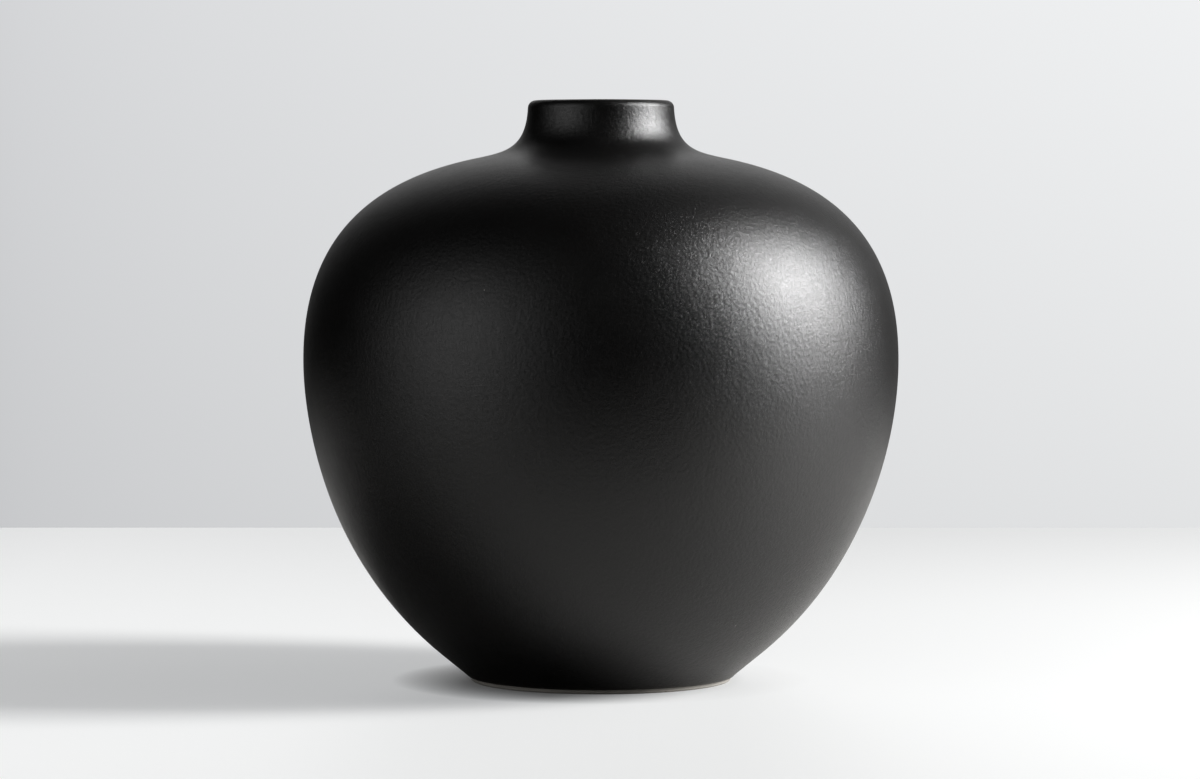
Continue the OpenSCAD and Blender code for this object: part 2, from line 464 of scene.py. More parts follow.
@dataclass
class TurnedPiece:
    """An outline carried round the axis, with its reliefs pushing the skin in or out.

    Attributes:
        name: the piece's name.
        outline: the outline and its reliefs, in millimetres.
        segments: steps round the axis.
        sharp_deg: angle above which an edge is shaded sharp.
    """

    name: str
    outline: Outline
    segments: int = ROUND_STEPS
    sharp_deg: float = 40.0

    def build(self) -> bpy.types.Object:
        """Make the mesh: a point is its outline point plus the relief along the outward side.

        Row i of the grid is the outline at angle i, so x is r times the cosine, y is r times
        the sine and z is the height. An outline that starts and ends on the axis is closed
        there with a pole at each end, and any other outline closes on itself.

        Returns:
            The new object, at the origin.
        """
        angles = np.linspace(0.0, FULL_TURN, self.segments, endpoint=False)
        points, push = self.outline.points(), self.outline.push(angles)
        thin = np.concatenate(self.outline.thins)
        kept = np.linalg.norm(points - np.roll(points, 1, axis=0), axis=1) > SAME_POINT
        points, push, thin = points[kept], push[:, kept], thin[kept]
        on_axis = bool(points[0, 0] < ON_AXIS and points[-1, 0] < ON_AXIS)
        before, after = np.roll(points, 1, axis=0), np.roll(points, -1, axis=0)
        sides = outward(after - before)
        radius = points[None, :, 0] + push * sides[None, :, 0]
        height = points[None, :, 1] + push * sides[None, :, 1]
        grid = np.stack([radius * np.cos(angles)[:, None], radius * np.sin(angles)[:, None],
                         height], axis=2) * MM
        if on_axis:
            return self._mesh(grid[:, 1:-1], thin[1:-1], points[[0, -1], 1] * MM)
        return self._mesh(grid, thin, None)

    def _mesh(self, grid: np.ndarray, thin: np.ndarray,
              poles: np.ndarray | None) -> bpy.types.Object:
        """Join the grid round the axis, and close it along the outline or with two poles.

        Args:
            grid: points by angle, then by place along the outline, in metres.
            thin: how far the coat has run thin at each place along the outline.
            poles: heights of the first and last pole in metres, or None for a closed outline.

        Returns:
            The new object, shaded smooth up to the sharp angle.
        """
        turns, places = grid.shape[:2]
        index = np.arange(turns * places).reshape(turns, places)
        after = np.roll(index, -1, axis=0)
        points = grid.reshape(-1, 3)
        if poles is None:
            faces = quads(index, after, np.roll(after, -1, axis=1), np.roll(index, -1, axis=1))
        else:
            faces = quads(index[:, :-1], after[:, :-1], after[:, 1:], index[:, 1:])
            low = np.full(turns, len(points))
            faces += np.stack([low, after[:, 0], index[:, 0]], axis=1).tolist()
            faces += np.stack([low + 1, index[:, -1], after[:, -1]], axis=1).tolist()
            points = np.concatenate([points, [[0.0, 0.0, poles[0]], [0.0, 0.0, poles[1]]]])
        mesh = bpy.data.meshes.new(self.name)
        mesh.from_pydata(points.tolist(), [], faces)
        mesh.polygons.foreach_set("use_smooth", np.ones(len(faces), dtype=bool))
        mesh.set_sharp_from_angle(angle=math.radians(self.sharp_deg))
        if thin.any():
            values = np.zeros(len(points))
            values[:grid.shape[0] * places] = np.tile(thin, turns)
            layer = mesh.attributes.new(THIN_ATTRIBUTE, "FLOAT", "POINT")
            layer.data.foreach_set("value", values)
        mesh.update()
        piece = bpy.data.objects.new(self.name, mesh)
        bpy.context.scene.collection.objects.link(piece)
        return piece


def quads(near: np.ndarray, after_near: np.ndarray, after_far: np.ndarray,
          far: np.ndarray) -> list[list[int]]:
    """Four-sided faces from grids of their corners' numbers, in outward order."""
    return np.stack([near, after_near, after_far, far], axis=-1).reshape(-1, 4).tolist()


# ---- Marks left by making ----


@dataclass(frozen=True)
class ThrowingRings:
    """Shallow spiral ridges that a potter's fingers leave on a thrown wall.

    Attributes:
        height: height from trough to ridge.
        pitch: distance from ridge to ridge.
        hub_r: radius of the hub that the climb is measured round.
        hub_z: height of that hub.
        mean_r: distance from the hub that turns its angle into a length.
        fade_r: radius inside which the rings fade out.
    """

    height: float = 0.30
    pitch: float = 6.5
    hub_r: float = 40.0
    hub_z: float = 132.5
    mean_r: float = 85.0
    fade_r: float = 14.0

    def __call__(self, angles: np.ndarray, line: np.ndarray) -> np.ndarray:
        """Half the height times the cosine of the turn plus the climb along the wall.

        The climb is the angle about a hub in the middle of the section times a mean radius,
        so that two surfaces that touch carry the same rings.

        Args:
            angles: angles round the axis.
            line: points of the outline in millimetres.

        Returns:
            Relief by angle and by point, faded out towards the axis.
        """
        climb = self.mean_r * np.arctan2(line[:, 1] - self.hub_z, line[:, 0] - self.hub_r)
        phase = angles[:, None] + FULL_TURN * climb[None, :] / self.pitch
        fade = np.clip(line[:, 0] / self.fade_r, 0.0, 1.0)
        return 0.5 * self.height * np.cos(phase) * fade[None, :]


@dataclass(frozen=True)
class HandWaver:
    """Slow swells of a hand-made surface.

    Attributes:
        height: depth that one full swell adds.
        wave_mm: usual length of a wave along the outline.
        seed: start of the random draws.
        count: number of waves that are added up.
        most_lobes: most turns that a wave makes round the axis.
        shortest: shortest wave as a share of the usual one.
        longest: longest wave as a share of the usual one.
        lean: share of the radius that counts as climb, so that level skin has waves too.
        crest: swell that stands at the outline itself, and above which it is cut off.
    """

    height: float
    wave_mm: float
    seed: int
    count: int = 10
    most_lobes: int = 6
    shortest: float = 0.7
    longest: float = 1.6
    lean: float = 0.3
    crest: float = 2.0

    def __call__(self, angles: np.ndarray, line: np.ndarray) -> np.ndarray:
        """A sum of cosines with drawn phases, lowered by the crest and cut off above zero.

        Each cosine turns a whole number of times round the axis and climbs at its own wave.

        Args:
            angles: angles round the axis.
            line: points of the outline in millimetres.

        Returns:
            Relief by angle and by point, never above zero.
        """
        draw = np.random.default_rng(self.seed)
        swell = np.zeros((len(angles), len(line)))
        for _ in range(self.count):
            lobes = draw.integers(-self.most_lobes, self.most_lobes + 1)
            wave = self.wave_mm * draw.uniform(self.shortest, self.longest)
            start = draw.uniform(0.0, FULL_TURN)
            climb = FULL_TURN * (line[:, 1] + self.lean * line[:, 0]) / wave
            swell += np.cos(lobes * angles[:, None] + climb[None, :] + start)
        return self.height * (swell / math.sqrt(self.count) - self.crest).clip(max=0.0)


@dataclass(frozen=True)
class TurningGrooves:
    """Fine grooves that a turning tool cuts into leather-hard clay.

    Attributes:
        depth: depth of a groove.
        pitch: distance from groove to groove along the outline.
        wander: how the tool drifts round the axis, as size, lobes and start of each wave.
    """

    depth: float
    pitch: float
    wander: tuple[tuple[float, int, float], ...] = ((0.35, 3, 0.0), (0.2, 7, 1.0))

    def __call__(self, angles: np.ndarray, line: np.ndarray) -> np.ndarray:
        """Minus half the depth times one minus the cosine of the run along the outline.

        Args:
            angles: angles round the axis.
            line: points of the outline in millimetres.

        Returns:
            Relief by angle and by point, never above zero.
        """
        run = np.cumsum(np.linalg.norm(np.diff(line, axis=0, prepend=line[:1]), axis=1))
        drift = sum(size * np.sin(lobes * angles + start)
                    for size, lobes, start in self.wander)
        phase = FULL_TURN * run[None, :] / self.pitch + drift[:, None]
        return -0.5 * self.depth * (1.0 - np.cos(phase))


@dataclass(frozen=True)
class ScoredHatching:
    """Crossed lines scratched into a joint face so that slip can hold it.

    Attributes:
        depth: depth of a line.
        lines: lines of each set round the axis.
        slant: turn of a line, in radians for each millimetre across the face.
    """

    depth: float = 0.25
    lines: int = 72
    slant: float = 0.9

    def __call__(self, angles: np.ndarray, line: np.ndarray) -> np.ndarray:
        """Minus the depth where either of two crossing sets of lines has its trough.

        Args:
            angles: angles round the axis.
            line: points of the outline in millimetres.

        Returns:
            Relief by angle and by point, never above zero.
        """
        turn = self.lines * angles[:, None]
        slide = self.slant * (line[:, 0] - line[:, 1])[None, :]
        rising = np.clip(np.cos(turn + slide), 0.0, 1.0) ** 2
        falling = np.clip(np.cos(turn - slide), 0.0, 1.0) ** 2
        return -self.depth * np.maximum(rising, falling)


@dataclass(frozen=True)
class Pressed:
    """The marks of the neighbour that a soft coat or slip was pressed against."""

    neighbour: Relief

    def __call__(self, angles: np.ndarray, line: np.ndarray) -> np.ndarray:
        """Minus the neighbour's relief."""
        return -self.neighbour(angles, line)


# ---- Finishes ----


def paint(hex_code: str) -> tuple[float, float, float, float]:
    """Turn an sRGB hex colour into the linear colour that shaders take.

    Args:
        hex_code: a colour such as "#1b1b1c".

    Returns:
        Linear red, green, blue and an alpha of one.
    """
    shades = [int(hex_code[i:i + 2], 16) / 255.0 for i in (1, 3, 5)]
    linear = [s / 12.92 if s <= 0.04045 else ((s + 0.055) / 1.055) ** 2.4 for s in shades]
    return (linear[0], linear[1], linear[2], 1.0)


def add_node(tree: bpy.types.NodeTree, kind: str, inputs: dict | None = None,
             **settings: object) -> bpy.types.Node:
    """Add a shader node, give it its settings, and set or link its inputs.

    Args:
        tree: the node tree that takes the node.
        kind: the node's type name without the words that all of them start with.
        inputs: a value or an output socket for each input, by name or number.
        settings: values of the node's own properties.

    Returns:
        The new node.
    """
    node = tree.nodes.new("ShaderNode" + kind)
    for name, value in settings.items():
        setattr(node, name, value)
    for key, value in (inputs or {}).items():
        if isinstance(value, bpy.types.NodeSocket):
            tree.links.new(value, node.inputs[key])
        else:
            node.inputs[key].default_value = value
    return node


def new_material(name: str) -> tuple[bpy.types.Material, bpy.types.NodeTree,
                                     bpy.types.NodeSocket]:
    """Start a material with its Object coordinates.

    Args:
        name: the material's name.

    Returns:
        The material, its empty node tree, and the socket of the coordinates in metres.
    """
    material = bpy.data.materials.new(name)
    material.use_nodes = True
    tree = material.node_tree
    tree.nodes.clear()
    return material, tree, add_node(tree, "TexCoord").outputs["Object"]


def per_metre(size_mm: float) -> float:
    """Texture scale at which one cell of a pattern is a size in millimetres."""
    return 1000.0 / size_mm


@dataclass(frozen=True)
class Pinpoints:
    """Round dots that stand at the centres of a few cells of a cell pattern.

    Attributes:
        cell_mm: size of a cell.
        dot_r_mm: radius of a dot.
        chance: share of the cells that have one.
    """

    cell_mm: float
    dot_r_mm: float
    chance: float

    def share(self, tree: bpy.types.NodeTree,
              place: bpy.types.NodeSocket) -> bpy.types.NodeSocket:
        """One where a chosen cell's centre is near, and zero elsewhere.

        Args:
            tree: the node tree.
            place: coordinates in metres.

        Returns:
            Socket of the share.
        """
        cells = add_node(tree, "TexVoronoi", {
            "Vector": place, "Scale": per_metre(self.cell_mm)})
        near = add_node(tree, "Math", {
            0: cells.outputs["Distance"],
            1: self.dot_r_mm / self.cell_mm}, operation="LESS_THAN")
        tint = add_node(tree, "SeparateColor", {"Color": cells.outputs["Color"]})
        chosen = add_node(tree, "Math", {
            0: tint.outputs["Red"], 1: 1.0 - self.chance}, operation="GREATER_THAN")
        both = add_node(tree, "Math", {
            0: near.outputs["Value"], 1: chosen.outputs["Value"]}, operation="MULTIPLY")
        return both.outputs["Value"]


@dataclass(frozen=True)
class TwoTone:
    """Two tones of one colour that drift into each other like clouds."""

    tone: str
    other: str
    size_mm: float
    detail: float

    def colour(self, tree: bpy.types.NodeTree,
               place: bpy.types.NodeSocket) -> bpy.types.NodeSocket:
        """The two tones mixed by noise of the clouds' size.

        Args:
            tree: the node tree.
            place: coordinates in metres.

        Returns:
            Socket of the colour.
        """
        clouds = add_node(tree, "TexNoise", {
            "Vector": place, "Scale": per_metre(self.size_mm), "Detail": self.detail})
        mixed = add_node(tree, "Mix", {
            0: clouds.outputs["Fac"], COLOUR_A: paint(self.tone),
            COLOUR_B: paint(self.other)}, data_type="RGBA")
        return mixed.outputs[COLOUR_OUT]


@dataclass(frozen=True)
class PatchyGloss:
    """Roughness that swings a little either way in soft patches."""

    middle: float
    swing: float
    patch_mm: float
    detail: float

    def roughness(self, tree: bpy.types.NodeTree,
                  place: bpy.types.NodeSocket) -> bpy.types.NodeSocket:
        """The middle value less the swing where noise is low, and plus it where it is high.

        Args:
            tree: the node tree.
            place: coordinates in metres.

        Returns:
            Socket of the roughness.
        """
        patches = add_node(tree, "TexNoise", {
            "Vector": place, "Scale": per_metre(self.patch_mm), "Detail": self.detail})
        uneven = add_node(tree, "MapRange", {
            "Value": patches.outputs["Fac"], "From Min": NOISE_LOW, "From Max": NOISE_HIGH,
            "To Min": self.middle - self.swing, "To Max": self.middle + self.swing})
        return uneven.outputs["Result"]


@dataclass(frozen=True)
class FineRelief:
    """Relief too fine for the mesh, such as grain, peel or brush lines."""

    size_mm: float
    height_mm: float
    detail: float

    def normal(self, tree: bpy.types.NodeTree, place: bpy.types.NodeSocket,
               under: bpy.types.NodeSocket | None = None) -> bpy.types.NodeSocket:
        """The surface's normal, tipped by noise of the relief's size and height.

        Args:
            tree: the node tree.
            place: coordinates in metres.
            under: normal of the coarser relief that this one lies on, or None.

        Returns:
            Socket of the normal.
        """
        grain = add_node(tree, "TexNoise", {
            "Vector": place, "Scale": per_metre(self.size_mm), "Detail": self.detail})
        tipped = add_node(tree, "Bump", {
            "Height": grain.outputs["Fac"], "Distance": self.height_mm * MM})
        if under is not None:
            tree.links.new(under, tipped.inputs["Normal"])
        return tipped.outputs["Normal"]


@dataclass(frozen=True)
class SatinBlackGlaze:
    """Satin black stoneware glaze, sprayed on and fired.

    Fused glass over fine crystals that wrinkle it like skin: black to the eye, it spreads a
    lamp into a soft round glow with little haze beyond it, and the orange peel of the sprayed
    coat breaks that glow into small grain.
    """

    body: TwoTone = TwoTone("#070708", "#0b0a09", size_mm=45.0, detail=3.0)
    thin: str = "#26221f"
    speck: str = "#8f8c86"
    specks: Pinpoints = Pinpoints(cell_mm=9.0, dot_r_mm=0.3, chance=0.07)
    gloss: PatchyGloss = PatchyGloss(middle=0.30, swing=0.015, patch_mm=14.0, detail=4.0)
    ior: float = 1.5
    ripple: FineRelief = FineRelief(size_mm=8.0, height_mm=0.05, detail=1.0)
    peel: FineRelief = FineRelief(size_mm=1.6, height_mm=0.11, detail=1.0)
    # Real crystals are a few hundredths of a millimetre; these are drawn coarser.
    crystals: FineRelief = FineRelief(size_mm=0.16, height_mm=0.070, detail=0.0)

    def make(self) -> bpy.types.Material:
        """Build the material: clouded black, rare specks, patchy gloss and three reliefs.

        Returns:
            The material, browner where the piece says that the coat has run thin.
        """
        material, tree, place = new_material("satin_black_glaze")
        dotted = add_node(tree, "Mix", {
            0: self.specks.share(tree, place), COLOUR_A: self.body.colour(tree, place),
            COLOUR_B: paint(self.speck)}, data_type="RGBA")
        edge = add_node(tree, "Attribute", attribute_name=THIN_ATTRIBUTE)
        colour = add_node(tree, "Mix", {
            0: edge.outputs["Fac"], COLOUR_A: dotted.outputs[COLOUR_OUT],
            COLOUR_B: paint(self.thin)}, data_type="RGBA")
        slow = self.ripple.normal(tree, place)
        fine = self.peel.normal(tree, place, slow)
        shader = add_node(tree, "BsdfPrincipled", {
            "Base Color": colour.outputs[COLOUR_OUT],
            "Roughness": self.gloss.roughness(tree, place), "IOR": self.ior,
            "Normal": self.crystals.normal(tree, place, fine)})
        add_node(tree, "OutputMaterial", {"Surface": shader.outputs["BSDF"]})
        return material


@dataclass(frozen=True)
class LinerGlaze:
    """Brown-black liner glaze, poured in and swirled round.

    A poured coat fires glossier and thicker than a sprayed one, so the inside is a wet dark
    brown that turns rust-coloured in long runs where the coat thins.
    """

    pool: str = "#0b0908"
    thin: str = "#2c1c13"
    thin_from: float = 0.5
    thin_to: float = 0.75
    gloss: PatchyGloss = PatchyGloss(middle=0.17, swing=0.05, patch_mm=20.0, detail=3.0)
    ior: float = 1.52
    run_mm: float = 11.0
    run_height_mm: float = 0.10
    run_stretch: float = 4.0

    def make(self) -> bpy.types.Material:
        """Build the material: rust where it thins, and a bump of slow vertical runs.

        Returns:
            The material.
        """
        material, tree, place = new_material("poured_liner_glaze")
        # Runs are several times longer downwards than they are wide.
        drawn = add_node(tree, "Mapping", {
            "Vector": place, "Scale": (1.0, 1.0, 1.0 / self.run_stretch)})
        runs = add_node(tree, "TexNoise", {
            "Vector": drawn.outputs["Vector"], "Scale": per_metre(self.run_mm), "Detail": 2.0})
        thinned = add_node(tree, "MapRange", {
            "Value": runs.outputs["Fac"], "From Min": self.thin_from,
            "From Max": self.thin_to})
        colour = add_node(tree, "Mix", {
            0: thinned.outputs["Result"], COLOUR_A: paint(self.pool),
            COLOUR_B: paint(self.thin)}, data_type="RGBA")
        flow = add_node(tree, "Bump", {
            "Height": runs.outputs["Fac"], "Distance": self.run_height_mm * MM})
        shader = add_node(tree, "BsdfPrincipled", {
            "Base Color": colour.outputs[COLOUR_OUT],
            "Roughness": self.gloss.roughness(tree, place), "IOR": self.ior,
            "Normal": flow.outputs["Normal"]})
        add_node(tree, "OutputMaterial", {"Surface": shader.outputs["BSDF"]})
        return material


@dataclass(frozen=True)
class BareClay:
    """Grey-buff stoneware clay, turned and left bare.

    Fired without a coat it is dry and open: matt and sandy, with darker iron specks and the
    fine lines of the turning tool running round it.
    """

    body: TwoTone = TwoTone("#7d7a75", "#93908a", size_mm=9.0, detail=5.0)
    iron: str = "#4a3c31"
    irons: Pinpoints = Pinpoints(cell_mm=2.2, dot_r_mm=0.22, chance=0.16)
    roughness: float = 0.86
    tool_lines: FineRelief = FineRelief(size_mm=0.8, height_mm=0.04, detail=2.0)
    line_stretch: float = 25.0
    sand: FineRelief = FineRelief(size_mm=0.45, height_mm=0.05, detail=3.0)

    def make(self) -> bpy.types.Material:
        """Build the material: sandy grey buff, iron specks, tool lines and grit.

        Returns:
            The material.
        """
        material, tree, place = new_material("bare_buff_stoneware")
        colour = add_node(tree, "Mix", {
            0: self.irons.share(tree, place), COLOUR_A: self.body.colour(tree, place),
            COLOUR_B: paint(self.iron)}, data_type="RGBA")
        # Tool lines run round the axis, so the pattern hardly changes across it.
        across = 1.0 / self.line_stretch
        turned = add_node(tree, "Mapping", {"Vector": place, "Scale": (across, across, 1.0)})
        combed = self.tool_lines.normal(tree, turned.outputs["Vector"])
        shader = add_node(tree, "BsdfPrincipled", {
            "Base Color": colour.outputs[COLOUR_OUT], "Roughness": self.roughness,
            "Normal": self.sand.normal(tree, place, combed)})
        add_node(tree, "OutputMaterial", {"Surface": shader.outputs["BSDF"]})
        return material


@dataclass(frozen=True)
class FiredSlip:
    """Joining slip, the same clay let down with water and brushed into the joints.

    With the sand settled out of it, it fires smoother, warmer and a little denser than the
    clay beside it.
    """

    body: TwoTone = TwoTone("#95866c", "#8b8474", size_mm=5.0, detail=3.0)
    roughness: float = 0.74
    brush_lines: FineRelief = FineRelief(size_mm=0.7, height_mm=0.02, detail=1.0)
    line_stretch: float = 10.0

    def make(self) -> bpy.types.Material:
        """Build the material: a smooth buff with faint brush lines round the axis.

        Returns:
            The material.
        """
        material, tree, place = new_material("fired_joining_slip")
        across = 1.0 / self.line_stretch
        brushed = add_node(tree, "Mapping", {"Vector": place, "Scale": (across, across, 1.0)})
        shader = add_node(tree, "BsdfPrincipled", {
            "Base Color": self.body.colour(tree, place), "Roughness": self.roughness,
            "Normal": self.brush_lines.normal(tree, brushed.outputs["Vector"])})
        add_node(tree, "OutputMaterial", {"Surface": shader.outputs["BSDF"]})
        return material


# ---- Pieces ----


class Slot(Enum):
    """The record's material slots."""

    SATIN = "satin_black_glaze"
    LINER = "liner_glaze"
    CLAY = "buff_clay"
    SLIP = "joint_slip"


@dataclass
class Workshop:
    """The finishes, and the last step of each piece."""

    finishes: dict[Slot, bpy.types.Material]

    @classmethod
    def open(cls) -> "Workshop":
        """Make one material for each slot."""
        makers = {Slot.SATIN: SatinBlackGlaze(), Slot.LINER: LinerGlaze(),
                  Slot.CLAY: BareClay(), Slot.SLIP: FiredSlip()}
        return cls({slot: maker.make() for slot, maker in makers.items()})

    def settle(self, name: str, outline: Outline, node: str, slot: Slot,
               segments: int = ROUND_STEPS) -> None:
        """Turn a piece, dress it, and say what it rides on and what it stands for.

        Args:
            name: the piece's name.
            outline: its outline and marks.
            node: the node of the model that it stands for.
            slot: the material slot that its finish belongs to.
            segments: how many steps it is turned in.
        """
        piece = TurnedPiece(name, outline, segments).build()
        piece.data.materials.append(self.finishes[slot])
        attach(piece, BODY)
        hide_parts(node)
        LOG.info("%s: %d faces in %s, for %s", name, len(piece.data.polygons),
                 slot.value, node)


@dataclass
class FootAndFloor:
    """Turned foot ring and floor slab, with the slip that joins them to each other and up.

    Attributes:
        form: the vase's form.
        scoring: hatching on the joint faces.
        rings: throwing rings on the floor.
        underside: grooves under the foot.
        band: grooves of the bare band.
        round_steps: steps in a rounding or short face of the foot.
        flat_steps: steps across a flat face.
        floor_steps: steps in the floor's flat part and in its rounding.
    """

    form: VaseForm
    scoring: ScoredHatching = ScoredHatching()
    rings: ThrowingRings = ThrowingRings()
    underside: TurningGrooves = TurningGrooves(depth=0.09, pitch=1.1)
    band: TurningGrooves = TurningGrooves(depth=0.04, pitch=0.5)
    round_steps: int = 6
    flat_steps: int = 40
    floor_steps: int = 26

    def make(self, workshop: Workshop) -> None:
        """Build the pieces from the table upwards.

        Args:
            workshop: gives each piece its finish and its place in the model.
        """
        form = self.form
        roof_z = form.foot_h + form.slip_t
        ring_top = straight([form.flare_clay_r(form.foot_h), form.foot_h],
                            [form.recess_r, form.foot_h], self.flat_steps)
        slab_under = straight([form.recess_r, roof_z], [form.flare_clay_r(roof_z), roof_z],
                              self.flat_steps)
        workshop.settle("turned_foot", self._foot(ring_top), "foot_ring", Slot.CLAY)
        foot_slip = (Outline()
                     .add(ring_top[::-1], Pressed(self.scoring), between_ends(ring_top))
                     .add(slab_under[::-1], Pressed(self.scoring), between_ends(slab_under)))
        workshop.settle("foot_slip", foot_slip, "foot_seam", Slot.SLIP)
        face = form.joint_face(form.base_joint, form.flare_way, JOINT_STEPS)
        floor = form.floor(0.0, self.floor_steps)[::-1]
        slab = (Outline()
                .add(straight([0.0, roof_z], [form.recess_r, roof_z], self.flat_steps)[:-1])
                .add(slab_under, self.scoring, between_ends(slab_under))
                .add(face, self.scoring, between_ends(face, 2))
                .add(floor, self.rings))
        workshop.settle("floor_slab", slab, "base_slab", Slot.CLAY)
        workshop.settle("floor_slip",
                        joint_slip(form, form.base_joint, form.flare_end, form.flare_way),
                        "base_seam", Slot.SLIP)

    def _foot(self, ring_top: np.ndarray) -> Outline:
        """The foot: grooved underside between two roundings, bare band, flare, scored top.

        Args:
            ring_top: the ring's top face, from the outside in.

        Returns:
            The outline of the foot.
        """
        form = self.form
        stand_r = form.flare_clay_r(form.bare_h) - form.foot_lean - form.foot_round
        inner = arc(np.array([form.recess_r + form.foot_round, form.foot_round]),
                    form.foot_round, 180.0, 270.0, self.round_steps)
        outer = arc(np.array([stand_r, form.foot_round]), form.foot_round, -90.0, 0.0,
                    self.round_steps)
        sole = straight(inner[-1], outer[0], self.flat_steps)
        edge = np.array([form.flare_clay_r(form.bare_h), form.bare_h])
        band = straight(outer[-1], edge, self.round_steps)
        flare = straight(edge, ring_top[0], self.round_steps)
        wall = straight(ring_top[-1], inner[0], self.round_steps)
        return (Outline().add(inner).add(sole, self.underside, between_ends(sole))
                .add(outer).add(band, self.band, between_ends(band)).add(flare)
                .add(ring_top, self.scoring, between_ends(ring_top)).add(wall))


def joint_slip(form: VaseForm, low: np.ndarray, high: np.ndarray,
               along: np.ndarray) -> Outline:
    """The slip that fills a joint, pressed into the scoring of both faces.

    Args:
        form: the vase's form.
        low: place of the lower face on the outer surface.
        high: place of the upper face on the outer surface.
        along: unit direction of the wall there, towards the rim.

    Returns:
        The outline of the slip.
    """
    lower = form.joint_face(low, along, JOINT_STEPS)[::-1]
    upper = form.joint_face(high, along, JOINT_STEPS)
    pressed = Pressed(ScoredHatching())
    return (Outline().add(lower, pressed, between_ends(lower, 2))
            .add(upper, pressed, between_ends(upper, 2)))


@dataclass
class ThrownWalls:
    """The two thrown bowls, rim to rim at the belly, and the slip between them."""

    form: VaseForm
    scoring: ScoredHatching = ScoredHatching()
    rings: ThrowingRings = ThrowingRings()
    inner_steps: int = 110

    def make(self, workshop: Workshop) -> None:
        """Build the lower bowl, the belly slip and the upper bowl.

        Args:
            workshop: gives each piece its finish and its place in the model.
        """
        form, up = self.form, np.array([0.0, 1.0])
        workshop.settle("lower_bowl", self._bowl(
            form.lower, form.joint_face(form.flare_end, form.flare_way, JOINT_STEPS),
            form.joint_face(form.belly_low, up, JOINT_STEPS)), "lower_body", Slot.CLAY)
        workshop.settle("belly_slip", joint_slip(form, form.belly_low, form.belly_high, up),
                        "belly_seam", Slot.SLIP)
        workshop.settle("upper_bowl", self._bowl(
            form.upper, form.joint_face(form.belly_high, up, JOINT_STEPS),
            form.joint_face(form.shoulder_low, form.shoulder_way, JOINT_STEPS)),
            "upper_body", Slot.CLAY)

    def _bowl(self, stretch: Callable[[int], Stretch], low: np.ndarray,
              high: np.ndarray) -> Outline:
        """A bowl's wall between two joint faces, ringed on its inside.

        Args:
            stretch: gives the outer surface at a number of steps.
            low: lower joint face, from the outside in.
            high: upper joint face, from the outside in.

        Returns:
            The outline of the wall.
        """
        under = low[::-1]
        return (Outline().add(under, self.scoring, between_ends(under, 2))
                .add(stretch(CLAY_STEPS).inset(self.form.glaze_t))
                .add(high, self.scoring, between_ends(high, 2))
                .add(self.form.back(stretch(self.inner_steps))[::-1], self.rings))


@dataclass
class Neck:
    """The collar with its rounded rim, and the slip under it."""

    form: VaseForm
    scoring: ScoredHatching = ScoredHatching()
    rings: ThrowingRings = ThrowingRings()
    inner_steps: int = 30

    def make(self, workshop: Workshop) -> None:
        """Build the neck slip and the collar.

        Args:
            workshop: gives each piece its finish and its place in the model.
        """
        form = self.form
        workshop.settle("neck_slip", joint_slip(form, form.shoulder_low, form.shoulder_high,
                                                form.shoulder_way), "neck_seam", Slot.SLIP)
        under = form.joint_face(form.shoulder_high, form.shoulder_way, JOINT_STEPS)[::-1]
        collar = (Outline().add(under, self.scoring, between_ends(under, 2))
                  .add(form.neck(CLAY_STEPS).inset(form.glaze_t))
                  .add(form.rim(form.glaze_t, RIM_STEPS))
                  .add(form.throat(0.0, self.inner_steps)[::-1], self.rings))
        workshop.settle("neck_and_rim", collar, "neck_collar", Slot.CLAY)


